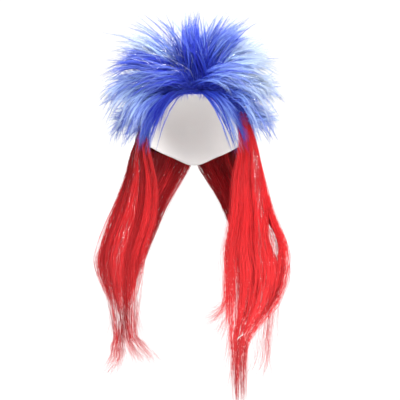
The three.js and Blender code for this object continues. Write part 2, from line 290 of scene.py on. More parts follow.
def tubes(paths, radii, tones, along):
    """Vertices, triangles and UVs of one tube for each path. The UVs are the tone, which a strand keeps
    or which changes from point to point, and the way along."""
    count, points = paths.shape[:2]
    rings = points - 1
    tangents = unit(np.gradient(paths, axis=1))
    mean = unit(tangents.mean(axis=1, keepdims=True))
    seed = rng.normal(size=(count, 1, 3))
    seed = seed - (seed * mean).sum(axis=2, keepdims=True) * mean
    side = unit(seed - (seed * tangents).sum(axis=2, keepdims=True) * tangents)
    other = np.cross(tangents, side)
    angles = FULL_TURN * np.arange(TUBE_SIDES) / TUBE_SIDES
    cosines = np.cos(angles)[:, None]
    sines = np.sin(angles)[:, None]
    spokes = cosines * side[:, :rings, None] + sines * other[:, :rings, None]
    wall = paths[:, :rings, None] + radii[:, :rings, None, None] * spokes
    vertices = np.concatenate([wall.reshape(count, -1, 3), paths[:, -1:]], axis=1)
    shift = (np.arange(TUBE_SIDES) - 1) * COLUMN
    tones = np.broadcast_to(tones.reshape(count, -1), (count, points))
    wall_u = tones[:, :rings, None] + shift
    wall_v = np.broadcast_to(along[:, :rings, None], (count, rings, TUBE_SIDES))
    tip_uv = np.stack([tones[:, -1], along[:, -1]], axis=1)[:, None]
    uvs = np.concatenate([np.stack([wall_u, wall_v], axis=-1).reshape(count, -1, 2), tip_uv], axis=1)
    triangles = [(2, 1, 0)]
    for ring in range(rings):
        for k in range(TUBE_SIDES):
            a = ring * TUBE_SIDES + k
            b = ring * TUBE_SIDES + (k + 1) % TUBE_SIDES
            if ring == rings - 1:
                triangles.append((a, b, rings * TUBE_SIDES))
            else:
                triangles.append((a, b, b + TUBE_SIDES))
                triangles.append((a, b + TUBE_SIDES, a + TUBE_SIDES))
    triangles = np.array(triangles)
    each = rings * TUBE_SIDES + 1
    starts = np.arange(count)[:, None, None] * each
    uvs = np.clip(uvs.reshape(-1, 2), *UV_RANGE)
    return vertices.reshape(-1, 3), (triangles + starts).reshape(-1, 3), uvs


def add_object(name, data):
    thing = bpy.data.objects.new(name, data)
    bpy.context.scene.collection.objects.link(thing)
    return thing


def add_piece(name, parts, material, uv_map=UV_MAP):
    """One mesh piece from several sets of vertices, faces and UVs."""
    start = 0
    faces = []
    for vertices, part_faces, _ in parts:
        faces.append(part_faces + start)
        start += len(vertices)
    vertices = np.concatenate([part[0] for part in parts])
    faces = np.concatenate(faces)
    uvs = np.concatenate([part[2] for part in parts])
    mesh = bpy.data.meshes.new(name)
    mesh.from_pydata(vertices.tolist(), [], faces.tolist())
    layer = mesh.uv_layers.new(name=uv_map)
    layer.data.foreach_set("uv", uvs[faces.ravel()].astype(np.float32).ravel())
    mesh.polygons.foreach_set("use_smooth", np.ones(len(faces), bool))
    mesh.materials.append(material)
    piece = add_object(name, mesh)
    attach(piece, "root")
    return piece


def bezier(start, bend, end, ends, steps):
    """Points on a quadratic curve for each strand, up to its own end, and how far along each point is."""
    along = np.linspace(0, 1, steps + 1)[None] * ends[:, None]
    t = along[:, :, None]
    points = (1 - t) ** 2 * start[:, None] + 2 * t * (1 - t) * bend[:, None] + t * t * end[:, None]
    return points, along


def waved(points, along, size, number):
    """Strands with soft waves that grow from the root, by their size in millimetres and their number."""
    count = len(points)
    phase = uniform(0, FULL_TURN, (count, 1, 3))
    rate = uniform(*WAVE_RATES, (count, 1, 3)) * number * FULL_TURN
    grow = along[:, :, None]
    return points + size * MM * grow * np.sin(phase + rate * grow)


def taper(along, root, tip):
    """Radii that thin towards each strand's own end."""
    share = along / along[:, -1:]
    return root[:, None] * (1 - share) + tip * share


def wall_faces(rows, width, columns):
    """Four-sided faces of a wall between an outer and an inner grid of points, and of its lower rim."""
    layer = rows * width
    faces = []
    for k in range(columns):
        after = (k + 1) % width
        for i in range(rows - 1):
            a = i * width + k
            b = i * width + after
            c = a + width
            d = b + width
            faces.append((a, c, d, b))
            faces.append((layer + a, layer + b, layer + d, layer + c))
        rim = layer - width + k
        rim_after = layer - width + after
        faces.append((rim, rim + layer, rim_after + layer, rim_after))
    return faces


# Materials: the colours are stops, each a place along the strand and a colour there. The darker roots are
# painted shade, under the hair above them and, for the red, under the crown, and the blue's pale tips are
# painted light that shines through the thin ends
BLUE_DARK = [(0, (0.006, 0.007, 0.15)), (0.4, (0.017, 0.027, 0.52)), (1, (0.1, 0.18, 0.9))]
BLUE_PALE = [
    (0, (0.014, 0.021, 0.38)),
    (0.25, (0.07, 0.155, 0.93)),
    (0.5, (0.37, 0.57, 1.0)),
    (1, (0.81, 0.91, 1.0)),
]
BLUE_ROUGHNESS = (0.35, 0.55)
RED_DARK = [(0, (0.06, 0.001, 0.002)), (0.4, (0.3, 0.002, 0.006)), (1, (0.5, 0.012, 0.018))]
RED_PALE = [
    (0, (0.6, 0.012, 0.017)),
    (0.4, (0.95, 0.036, 0.042)),
    (0.78, (0.93, 0.06, 0.065)),
    (1, (0.62, 0.07, 0.075)),
]
RED_ROUGHNESS = (0.3, 0.5)
FIBRE_SPECULAR = 0.2
FIBRE_STREAKS = dict(stretch=(70, 4, 1), scale=1, detail=3)
STREAK_VALUES = (0.84, 1.12)
NOISE_RANGE = (0.3, 0.7)  # part of the noise's range that is used


def set_inputs(tree, node, inputs):
    """Inputs of a shader node, set to values or linked to the outputs of other nodes."""
    for name, value in inputs.items():
        if isinstance(value, bpy.types.NodeSocket):
            tree.links.new(value, node.inputs[name])
        else:
            node.inputs[name].default_value = value


def add_node(tree, kind, inputs, **settings):
    node = tree.nodes.new("ShaderNode" + kind)
    for key, value in settings.items():
        setattr(node, key, value)
    set_inputs(tree, node, inputs)
    return node


def ramp(tree, factor, stops):
    node = add_node(tree, "ValToRGB", {"Fac": factor})
    elements = node.color_ramp.elements
    while len(elements) < len(stops):
        elements.new(1)
    for element, (place, colour) in zip(elements, stops):
        element.position = place
        element.color = (*colour, 1)
    return node.outputs["Color"]


def map_range(tree, value, before, after):
    limits = zip(("From Min", "From Max", "To Min", "To Max"), (*before, *after))
    return add_node(tree, "MapRange", {"Value": value, **dict(limits)}).outputs["Result"]


def new_material(name):
    material = bpy.data.materials.new(name)
    material.use_nodes = True
    return material, material.node_tree, material.node_tree.nodes["Principled BSDF"]


def streaks(tree, uv, stretch, scale, detail):
    """Noise in the tone map, stretched along the strands."""
    stretched = add_node(tree, "Mapping", {"Vector": uv, "Scale": stretch}).outputs["Vector"]
    inputs = {"Vector": stretched, "Scale": scale, "Detail": detail}
    return add_node(tree, "TexNoise", inputs, noise_dimensions="2D").outputs["Fac"]


def fibre(name, dark, pale, roughness):
    """Synthetic hair: dark and pale colours along the strand, mixed by its tone, with fine streaks."""
    material, tree, shader = new_material(name)
    uv = add_node(tree, "UVMap", {}, uv_map=UV_MAP).outputs["UV"]
    parts = add_node(tree, "SeparateXYZ", {"Vector": uv}).outputs
    colours = {"A": ramp(tree, parts["Y"], dark), "B": ramp(tree, parts["Y"], pale)}
    mix = add_node(tree, "Mix", {"Factor": parts["X"], **colours}, data_type="RGBA")
    mixed = [socket for socket in mix.outputs if socket.type == "RGBA"][0]
    noise = streaks(tree, uv, **FIBRE_STREAKS)
    value = map_range(tree, noise, NOISE_RANGE, STREAK_VALUES)
    set_inputs(tree, shader, {
        "Base Color": add_node(tree, "HueSaturation", {"Color": mixed, "Value": value}).outputs["Color"],
        "Roughness": map_range(tree, noise, NOISE_RANGE, roughness),
        "Specular IOR Level": FIBRE_SPECULAR,
    })
    return material


blue = fibre("blue_hair", BLUE_DARK, BLUE_PALE, BLUE_ROUGHNESS)
red = fibre("red_hair", RED_DARK, RED_PALE, RED_ROUGHNESS)


# Blue spikes: each is a soft mass of wisps with long pointed locks that stand out of it
# count is the number of strands in the mass, fan the spread of the tips as a share of the root's radius,
# cut how much of the reach the shortest wisps lack, evenness how many are short, arch how far the hair
# rises before it droops in millimetres, painted_paling how far its colour goes from the root's painted
# shade to the tip's painted light, pale_from how far along that way its roots start, painted light that
# lifts them out of their shade, and mixed how much its wisps differ in tone
COMMON = dict(fan=1.15, cut=0.4, evenness=1.0, arch=0, painted_paling=1, pale_from=0, mixed=0.24)
FRONT = dict(count=480, segments=4, locks=11, **COMMON)
BACK = dict(count=310, segments=3, locks=6, **COMMON)
DROOPING = dict(count=360, locks=13, fan=1.45, arch=12, mixed=0.45)
# Spikes on the lit right side, whose roots are lifted out of their shade by painted light
PAINTED_LIT_SPIKES = dict(fan=1.35, arch=10, pale_from=0.15)
SHORT = dict(count=260, locks=2, cut=0.75, evenness=2.5)
SPARSE = dict(count=90, locks=2, cut=0.85, evenness=3)
LOOKS = {
    "temple_left": dict(count=440, locks=20, fan=1.5, cut=0.35, evenness=0.8, painted_paling=0.6),
    "temple_right": dict(count=340, locks=18, fan=1.6, cut=0.5, evenness=1.2, painted_paling=0.8),
    "brow_left": dict(fan=1.8, arch=8, painted_paling=0.9),
    "brow_centre": dict(fan=1.0, painted_paling=0.7),
    "brow_right": dict(fan=1.9, arch=6),
    "left_1": {**DROOPING, "cut": 0.2},
    "left_2": {**DROOPING, "cut": 0.4},
    "left_3": {**DROOPING, "cut": 0.75},
    "left_4": {**DROOPING, "arch": 17, "cut": 0.75},
    "left_5": dict(count=500, fan=1.15, arch=9),
    "left_6": dict(fan=1.3, cut=0.5, arch=8, painted_paling=1.4),
    "left_7": dict(count=70, fan=1.3, cut=0.75, evenness=2.5),
    "right_1": dict(count=80, locks=8, fan=1.4, cut=0.5, evenness=1.2, arch=8),
    "right_2": {**PAINTED_LIT_SPIKES, "count": 300},
    "right_3": {**PAINTED_LIT_SPIKES, "painted_paling": 1.05},
    "right_4": {**PAINTED_LIT_SPIKES, "painted_paling": 1.05},
    "right_5": {**PAINTED_LIT_SPIKES, "arch": 8, "painted_paling": 1.1},
    "right_6": dict(fan=1.35, painted_paling=1.35),
    "right_7": dict(count=760, locks=20, fan=1.25, cut=0.12, painted_paling=0.9),
    "top_left": dict(count=50, locks=6, fan=1.5, cut=0.8, evenness=3),
    "top_centre": dict(fan=0.9, cut=0.35, painted_paling=0.75),
    "top_right": dict(count=280, fan=1.4, cut=0.6, evenness=2.2),
    "top_back_left": SPARSE,
    "top_back_right": SHORT,
    "crown_left": SPARSE,
    "crown_centre": SHORT,
    "crown_right": SHORT,
    "side_left": dict(cut=0.8),
    "side_right": dict(cut=0.6),
    "back_left_2": dict(fan=0.8, cut=0.55, evenness=1.6),
    "back_left_3": dict(cut=0.7),
    "back_right_3": dict(cut=0.6),
    "back_centre_1": dict(fan=0.9, cut=0.5, evenness=1.4),
    "low_left_1": dict(cut=0.65),
    "low_right_1": dict(cut=0.75),
}
FRONT_TURN = 100  # spikes nearer to the front than this have the front's look
ROOT_SPREAD = 0.9  # spread of the wisps at the root, as a share of its radius
ROOT_BACK = 30 * MM  # how far towards the swirl from a spike's root its hair starts
ROOT_BACK_POWER = 1.5  # above 1, more of it starts near the root
ROOT_INSET = 0.5  # degrees from the pile's edge up to the lowest roots
BEND_PLACE = 0.2025  # share of the way to the tip where the hair bends
BEND_FOLLOWS = 0.7  # share of its place at the root that a strand keeps at the bend
COMBED = 0.85  # how far a wisp's place at the tip follows its place at the root
UNCOMBED = 0.55  # how far it is its own
# The front hair is darker near the swirl, where it lies under the other hair: painted shade
FROM_SWIRL = 0.6  # share of the front hair's colour that follows the distance from the swirl

# Wisps, long locks, their strands and loose strands, in millimetres. cut is how much shorter than the spike
# they are, as a share of the reach, and uneven how much shorter a strand may end than its wisp or lock
WISP = Kind(strands=8, weights=(0.3, 1.7), root=1.2, bend=4, width=2.8, cut=0.12, shape=1.2, uneven=0.42)
LOCK = Kind(strands=9, width=0.55, cut=(-0.15, 0.08), uneven=0.16, darker=0.08)
STRAND = Kind(
    bend=0.8, shape=(1.0, 1.8), wave=0.8, waves=1.1, radius=0.3, radii=(0.8, 1.25), tip=0.1, tones=0.1)
LOOSE = Kind(share=0.14, fan=1.6, cut=(-0.06, 0.2), ends=(0.7, 1), wave=4, radius=0.15)

# Spikes that start along the hairline: outer and inner turn
ALONG_HAIRLINE = {"temple_left": (-52, -10), "temple_right": (38, 2)}
INWARDS = 0.6  # below 1, more of these locks start towards the inner turn
HAIRLINE_DEPTH = 6  # degrees above the edge within which they start
TIP_ROOM = 4 * MM  # how far a tip may pass the solids' box


def inside_box(points):
    """Points kept to the solids' box and a little beyond."""
    return np.clip(points, np.array(cad_box[0]) - TIP_ROOM, np.array(cad_box[1]) + TIP_ROOM)


def spike_strands(row):
    """The strands of one spike, in the wisps of its mass and in its long locks."""
    name, turn, drop, x, y, z, rise, radius, tone = row
    in_front = abs(turn) < FRONT_TURN
    look = {**(FRONT if in_front else BACK), **LOOKS.get(name, {})}
    locks = look["locks"]
    wisps = locks + look["count"] // WISP.strands
    radius = radius * MM
    root = on_cap(turn, drop, CAP_WALL)
    outside = on_cap(turn, drop, (SPIKE_ROOT + rise) * MM)
    tip = np.array([x, y, z]) * MM
    bend = outside + BEND_PLACE * (tip - outside)
    heading = unit(tip - bend)
    reach = norm(tip - root)
    root_sides = np.stack(across(outside - root))
    tip_sides = np.stack(across(heading))

    # The wisps, with the long locks first
    is_lock = np.arange(wisps) < locks
    back = ROOT_BACK * uniform(0, 1, (wisps, 1)) ** ROOT_BACK_POWER
    wisp_root = disc(wisps, ROOT_SPREAD * radius) @ root_sides
    combed = look["fan"] / ROOT_SPREAD * wisp_root @ tip_sides.T
    wisp_root = wisp_root - away_from_swirl(root) * back
    if name in ALONG_HAIRLINE:
        outer, inner = ALONG_HAIRLINE[name]
        turns = outer + (inner - outer) * uniform(0, 1, wisps) ** INWARDS
        drops = edge_drop(turns, PILE_EDGE) - uniform(0, HAIRLINE_DEPTH, wisps)
        wisp_root = on_cap(turns, drops, CAP_WALL) - root
    wisp_tip = COMBED * combed + UNCOMBED * disc(wisps, look["fan"] * radius)
    mass_cut = WISP.cut + look["cut"] * rng.beta(look["evenness"], WISP.shape, wisps)
    shorter = np.where(is_lock, uniform(*LOCK.cut, wisps), mass_cut) * reach
    wisp_bend = rng.normal(0, WISP.bend * MM, (wisps, 3)) + np.array([0, 0, look["arch"] * MM])
    wisp_tone = rng.normal(tone, look["mixed"], wisps) - LOCK.darker * is_lock

    # The strands in them
    weight = uniform(*WISP.weights, wisps) * ~is_lock
    in_mass = rng.choice(wisps, size=look["count"], p=weight / weight.sum())
    own_wisp = np.concatenate([np.repeat(np.arange(locks), LOCK.strands), in_mass])
    count = len(own_wisp)
    in_lock = is_lock[own_wisp]
    loose = ~in_lock & (rng.random(count) < LOOSE.share)
    from_root = wisp_root[own_wisp] + disc(count, WISP.root * MM) @ root_sides
    start = rooted(root + from_root, CAP_WALL + HAIR_GAP, ROOT_INSET)
    middle = bend + BEND_FOLLOWS * from_root + wisp_bend[own_wisp]
    middle = middle + rng.normal(0, STRAND.bend * MM, (count, 3))
    gathered = disc(count, 1) * np.where(in_lock, LOCK.width, WISP.width)[:, None] * MM
    own_tip = (wisp_tip[own_wisp] + gathered) @ tip_sides - shorter[own_wisp, None] * heading
    stray = disc(count, LOOSE.fan * radius) @ tip_sides
    stray = stray - uniform(*LOOSE.cut, (count, 1)) * reach * heading
    end = inside_box(tip + np.where(loose[:, None], stray, own_tip))
    ends = 1 - np.where(in_lock, LOCK.uneven, WISP.uneven) * rng.beta(*STRAND.shape, count)
    ends = np.where(loose, uniform(*LOOSE.ends, count), ends)
    paths, along = bezier(start, middle, end, ends, look["segments"])
    paths = waved(paths, along, np.where(loose, LOOSE.wave, STRAND.wave)[:, None, None], STRAND.waves)
    thick = np.where(loose, LOOSE.radius, STRAND.radius) * uniform(*STRAND.radii, count) * MM
    tones = toned(wisp_tone[own_wisp] + rng.normal(0, STRAND.tones, count))
    shade = along
    # Painted shade: the front hair is darker the nearer it is to the swirl
    if in_front:
        from_swirl = norm(paths - SWIRL, axis=2) / norm(tip - SWIRL)
        shade = (1 - FROM_SWIRL) * along + FROM_SWIRL * from_swirl
    shade = look["pale_from"] + look["painted_paling"] * shade
    return tubes(paths, taper(along, thick, STRAND.tip * MM), tones, shade)


for spike in SPIKES:
    piece = add_piece("hair_" + spike[0], [spike_strands(spike)], blue)
    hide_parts("spike_" + spike[0])


# The backcombed pile under the spikes: a mat of hair, dark with painted shade, short teased hair and the
# hairline
# In the mat, ridges are how many go round and their slant in degrees from top to edge, and roll is the
# power of the round at the edge, where thinnest is the square of the share of the depth that is left
MAT = Kind(
    turns=120, rows=22, first=0.02, lift=1 * MM, depth=9 * MM, ridge=1.3 * MM,
    ridges=[(17, 240), (29, -360)], roll=6, thinnest=0.02, tone=0.12, streaks=23, streak=0.1, shade=0.04,
    paler=0.1, top_uvs=[(0.1, 0.02), (0.12, 0.02)])

# Kinds of short hair. Lengths are in millimetres and angles in degrees. wave is its size and how many there
# are, radii are the roots' and tip the tip's, tone is the mean and spread how much it varies, shade is the
# root's and how much paler the tip is, and root is how far outside the cap the strands start
TEASED = Kind(
    count=2000, segments=3, wave=(3, 1.2), radii=(0.2, 0.34), tip=0.06, spread=0.12, shade=(0.05, 0.5),
    tone=0.3, right_paler=0.25, root=4, places=(0.01, 0.96), heights=(12, 30), end_height=1.3,
    combed=(14, 44), bend_combed=0.3, scatter=5)
# The hairline's hair has a dark tone: painted shade under the locks above it
HAIRLINE = Kind(
    count=1900, segments=4, wave=(1.5, 1), radii=(0.18, 0.3), tip=0.05, spread=0.2, shade=(0.05, 0.55),
    tone=0.16, root=0.3, turns=(-75, 80), depth=9, sweeps=(8, 32), end_above=(-7, 10), bend_lift=2,
    bend_off=(8, 17), end_off=(8, 24), lengths=(0.6, 1), temple_share=0.35, temple_turns=(36, 76),
    temple_sweep=0.4, left_share=0.7, right_turn=0.7)
STANDING = Kind(
    count=1200, segments=3, wave=(2, 1), radii=(0.18, 0.3), tip=0.05, spread=0.1, shade=(0.1, 0.4),
    tone=0.08, root=3, half_turn=26, half_drop=14, inset=1, leans=(0.2, 0.9), bend_lean=0.2,
    heights=(18, 46), bend_height=0.7, scatter=6)
FRINGE = Kind(
    count=160, segments=3, wave=None, radii=(0.28, 0.44), tip=0.14, spread=0.1, shade=(0.1, 0.4),
    tone=0.12, root=1, root_above=3, turns=(-26, 42), aside=4, lengths=(0.5, 5), longer_by=13, longest=1.7,
    bend_above=1, bend_off=5, end_off=(3, 8))


def mat_surface():
    """A closed ridged shell over the cap, from its top to the pile's edge."""
    turns = np.arange(MAT.turns) * 360 / MAT.turns
    shares = np.linspace(MAT.first, 1, MAT.rows)[:, None]
    drop = edge_drop(turns, PILE_EDGE)[None] * shares
    ridge = sum(np.sin(np.radians(turns * number + slant * shares)) for number, slant in MAT.ridges)
    roll = np.sqrt(np.clip(1 - shares ** MAT.roll, MAT.thinnest, 1))
    outside = CAP_WALL + MAT.lift + (MAT.depth + MAT.ridge * ridge) * roll
    inside = np.full_like(outside, CAP_WALL + HAIR_GAP)
    heights = np.array([CAP_WALL + MAT.lift + MAT.depth, CAP_WALL + HAIR_GAP])
    tops = on_cap(np.zeros(2), np.zeros(2), heights)
    grids = [on_cap(turns[None], drop, outside), on_cap(turns[None], drop, inside)]
    vertices = np.concatenate([*(grid.reshape(-1, 3) for grid in grids), tops])
    layer = MAT.rows * MAT.turns
    quads = np.array(wall_faces(MAT.rows, MAT.turns, MAT.turns))
    triangles = [quads[:, [0, 1, 2]], quads[:, [0, 2, 3]]]
    first_row = np.arange(MAT.turns)
    after = np.roll(first_row, -1)
    top = np.full(MAT.turns, 2 * layer)
    triangles.append(np.stack([top, first_row, after], axis=1))
    triangles.append(np.stack([top + 1, layer + after, layer + first_row], axis=1))
    tone = MAT.tone + MAT.streak * np.sin(np.radians(turns * MAT.streaks))[None] * np.ones((MAT.rows, 1))
    shade = np.broadcast_to(MAT.shade + MAT.paler * shares, (MAT.rows, MAT.turns))
    uvs = np.stack([tone, shade], axis=-1).reshape(-1, 2)
    return vertices, np.concatenate(triangles), np.concatenate([uvs, uvs, MAT.top_uvs])


def short_hair(kind, start, bend, end, lengths, tone):
    """Strands of one kind along curves, each to its own length."""
    paths, along = bezier(start, bend, end, lengths, kind.segments)
    if kind.wave:
        paths = waved(paths, along, *kind.wave)
    thick = uniform(*kind.radii, kind.count) * MM
    tones = toned(rng.normal(tone, kind.spread, kind.count))
    root_shade, paler = kind.shade
    return tubes(paths, taper(along, thick, kind.tip * MM), tones, root_shade + paler * along)


def teased_strands(kind):
    """Short hair all over the pile, combed away from the brow."""
    turn = uniform(-180, 180, kind.count)
    drop = edge_drop(turn, PILE_EDGE) * np.sqrt(uniform(*kind.places, kind.count))
    start = on_cap(turn, drop, CAP_WALL + kind.root * MM)
    height = uniform(*kind.heights, kind.count) * MM
    comb = away_from_swirl(start) * uniform(*kind.combed, (kind.count, 1)) * MM
    bend = on_cap(turn, drop, CAP_WALL + height) + kind.bend_combed * comb
    end = on_cap(turn, drop, CAP_WALL + kind.end_height * height) + comb
    end = inside_box(end + rng.normal(0, kind.scatter * MM, (kind.count, 3)))
    side = np.sin(np.radians(turn)) * np.sin(np.radians(drop))
    # The right side is paler: painted light from the key light's side
    return short_hair(kind, start, bend, end, np.ones(kind.count), kind.tone + kind.right_paler * side)


def hairline_strands(kind):
    """Hair along the front edge, swept sideways from the swirl and hanging a little over the edge."""
    temple = rng.random(kind.count) < kind.temple_share
    temple_side = np.where(rng.random(kind.count) < kind.left_share, -1, kind.right_turn)
    temple_turn = temple_side * uniform(*kind.temple_turns, kind.count)
    turn = np.where(temple, temple_turn, uniform(*kind.turns, kind.count))
    drop = edge_drop(turn, CAP_EDGE) - uniform(0, 1, kind.count) ** 2 * kind.depth
    sweep = uniform(*kind.sweeps, kind.count) * np.where(temple, kind.temple_sweep, 1)
    swept = turn + np.sign(turn - SWIRL_TURN) * sweep
    low = edge_drop(swept, CAP_EDGE) - uniform(*kind.end_above, kind.count)
    start = on_cap(turn, drop, CAP_WALL + kind.root * MM)
    bend_off = uniform(*kind.bend_off, kind.count) * MM
    bend = on_cap((turn + swept) / 2, (drop + low) / 2 - kind.bend_lift, bend_off)
    end = on_cap(swept, low, uniform(*kind.end_off, kind.count) * MM)
    return short_hair(kind, start, bend, end, uniform(*kind.lengths, kind.count), kind.tone)


def swirl_strands(kind):
    """Short hair round the swirl, dark with painted shade, standing out from the cap and leaning to all
    sides.
    """
    place = disc(kind.count, 1)
    turn = SWIRL_TURN + kind.half_turn * place[:, 0]
    drop = np.minimum(SWIRL_DROP + kind.half_drop * place[:, 1], edge_drop(turn, PILE_EDGE) - kind.inset)
    start = on_cap(turn, drop, CAP_WALL + kind.root * MM)
    lean = (start - SWIRL) * uniform(*kind.leans, (kind.count, 1))
    height = uniform(*kind.heights, kind.count) * MM
    bend = on_cap(turn, drop, kind.bend_height * height) + kind.bend_lean * lean
    end = on_cap(turn, drop, height) + lean + rng.normal(0, kind.scatter * MM, (kind.count, 3))
    return short_hair(kind, start, bend, inside_box(end), np.ones(kind.count), kind.tone)


def fringe_strands(kind):
    """Very short hair that hangs over the top of the face opening, longer away from its middle."""
    turn = uniform(*kind.turns, kind.count)
    edge = edge_drop(turn, CAP_EDGE)
    start = on_cap(turn, edge - kind.root_above, CAP_WALL + kind.root * MM)
    aside = turn + rng.normal(0, kind.aside, kind.count)
    longer = np.minimum(1 + (turn / kind.longer_by) ** 2, kind.longest)
    length = uniform(*kind.lengths, kind.count) * longer
    bend = on_cap(turn, edge - kind.bend_above, CAP_WALL + kind.bend_off * MM)
    end = on_cap(aside, edge + length, uniform(*kind.end_off, kind.count) * MM)
    return short_hair(kind, start, bend, end, np.ones(kind.count), kind.tone)


pile_parts = [
    mat_surface(),
    teased_strands(TEASED),
    hairline_strands(HAIRLINE),
    swirl_strands(STANDING),
    fringe_strands(FRINGE),
]
pile = add_piece("hair_pile", pile_parts, blue)
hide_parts("crown_pile")


# Red falls and tails
def section_at(rows, along):
    """The sections between the rows on a smooth curve, carried straight on past the last row."""
    rows = np.array(rows, float) * MM
    rows = np.concatenate([2 * rows[:1] - rows[1:2], rows, 2 * rows[-1:] - rows[-2:-1]])
    last = len(rows) - 3
    place = along * last
    row = np.clip(np.floor(place).astype(int), 0, last - 1)
    t = (place - row)[..., None]
    beyond = np.maximum(t - 1, 0)
    t = np.minimum(t, 1)
    p0, p1, p2, p3 = (rows[row + k] for k in range(4))
    curve = 0.5 * (
        2 * p1
        + (p2 - p0) * t
        + (2 * p0 - 5 * p1 + 4 * p2 - p3) * t ** 2
        + (3 * p1 - p0 - 3 * p2 + p3) * t ** 3
    )
    return curve + beyond * 0.5 * (p3 - p1)


def in_section(rows, places, along, outside):
    """Points from places in the oval sections, from -1 to 1 between the edges and between the faces, where
    1 is the outer one."""
    section = section_at(rows, along)
    z, inner_x, inner_y, outer_x, outer_y, thick = (section[..., k] for k in range(6))
    wide_x = outer_x - inner_x
    wide_y = outer_y - inner_y
    length = np.hypot(wide_x, wide_y)
    share = 0.5 + 0.5 * places[..., 0]
    depth = 0.5 * thick * places[..., 1] * outside
    return np.stack([
        inner_x + wide_x * share + wide_y / length * depth,
        inner_y + wide_y * share - wide_x / length * depth,
        z,
    ], axis=-1)


# Rates are half waves along the rows, off_cap is the strands' distance from the inside of the cap in
# millimetres, and the strays' width is how far they leave the hank as a share of its width
HANK = Kind(
    lock_spread=0.97, lock_tones=0.28, tones=0.09, end_spread=0.07, long_ends=(0.85, 1.03), gather_from=0.5,
    lock_rates=(1.2, 3), own_rates=(1.5, 4), wave=1.5, waves=1.8, radii=(0.75, 1.2), off_cap=(2, 6),
    parting_fade=0.3, flare_length=0.2, flare_most=1.3, flare_power=1.5, face_paler=0.14, wave_paler=0.15)
STRAY = Kind(share=0.12, width=0.12, wave=5, radius=0.6)


def hank(rows, outside, count, segments, clumps, ends, tone, long_share=0, spread=1.0, gather=0.4,
         edges=(-1, 1), stray_edge=-1, begins=0, flare=0, flare_from=0.85, radius=0.24, tip=0.1, closer=1.0,
         wander=0.07, parting=None):
    """Long hair in soft locks. ends are the shortest and the longest end as shares of the rows, long_share
    is the share of strands that go on to the last rows, edges are the dense hair's and stray_edge is the
    strays' inner one, begins is the last place along where a strand starts, flare how much the ends spread,
    radius and tip the thickness in millimetres, closer, above 1, how much closer a strand's points lie
    towards its tip, wander how far locks and strands leave their place as a share of the half width, and
    parting a gap: its place across, its slope through the hank, its middle and half length along, and its
    half width."""
    clump_place = disc(clumps, HANK.lock_spread)
    own = disc(count, 1)
    clump = norm(own[:, None] - clump_place, axis=2).argmin(axis=1)
    clump_end = uniform(ends[0], ends[1], clumps)
    clump_tone = rng.normal(tone, HANK.lock_tones, clumps)
    stray = rng.random(count) < STRAY.share
    end = clump_end[clump] - np.abs(rng.normal(0, HANK.end_spread, count))
    end = np.where(rng.random(count) < long_share, uniform(*HANK.long_ends, count), end)
    first = uniform(0, begins, count)[:, None]
    steps = 1 - (1 - np.linspace(0, 1, segments + 1)) ** closer
    along = first + steps[None] * (end[:, None] - first)
    late = np.clip((along - HANK.gather_from) / (1 - HANK.gather_from), 0, 1)[..., None]
    late = late * late * (3 - 2 * late)
    lock_phase = uniform(0, FULL_TURN, (clumps, 1, 3))
    lock_rate = uniform(*HANK.lock_rates, (clumps, 1, 3)) * math.pi
    own_phase = uniform(0, FULL_TURN, (count, 1, 2))
    own_rate = uniform(*HANK.own_rates, (count, 1, 2)) * math.pi
    lock_wave = np.sin(lock_phase[clump] + lock_rate[clump] * along[..., None])
    drift = wander * (lock_wave[..., :2] + np.sin(own_phase + own_rate * along[..., None]))
    places = own[:, None] * (1 - gather * late) + clump_place[clump, None] * gather * late + drift
    inner = np.where(stray, stray_edge, edges[0])[:, None]
    places[..., 0] = inner + (edges[1] - inner) * 0.5 * (places[..., 0] + 1)
    if parting:
        place, slope, middle, half_length, half_width = parting
        from_gap = places[..., 0] - place + slope * places[..., 1]
        fade = ((along - middle) / half_length) ** 2 + np.abs(from_gap) / HANK.parting_fade
        opened = half_width * np.exp(-fade)
        places[..., 0] += np.where(from_gap > 0, opened, -opened)
    past = np.clip((along - flare_from) / HANK.flare_length, 0, HANK.flare_most)[..., None]
    flared = 1 + flare * past ** HANK.flare_power
    strayed = 1 + np.where(stray, uniform(0, STRAY.width, count), 0)[:, None, None] * late
    paths = in_section(rows, places * spread * flared * strayed, along, outside)
    paths = waved(paths, along, np.where(stray, STRAY.wave, HANK.wave)[:, None, None], HANK.waves)
    paths = kept_off_cap(paths, uniform(*HANK.off_cap, count)[:, None] * MM)
    radii = np.where(stray, STRAY.radius, 1) * radius * MM * uniform(*HANK.radii, count)
    # The outer face is paler and the inner face darker: painted light and shade
    tones = clump_tone[clump] + HANK.face_paler * own[:, 1] + rng.normal(0, HANK.tones, count)
    tones = toned(tones[:, None] + HANK.wave_paler * lock_wave[..., 2])
    return tubes(paths, taper(along, radii, tip * MM), tones, np.clip(along, 0, 1))


# start is how far along its hank a straggler starts and inside the share of its place across that it starts
# from, places and ends are the spread of its strands, its direction is taken over the share before of the
# rows, and onwards is the share of the way to its end where it bends
STRAGGLER = Kind(
    points=9, radii=(0.13, 0.22), tip=0.1, wave=(1.5, 1.5), spread=0.15, start=0.12, inside=0.3,
    places=0.06, ends=(6, 6, 12), before=0.05, onwards=0.55)


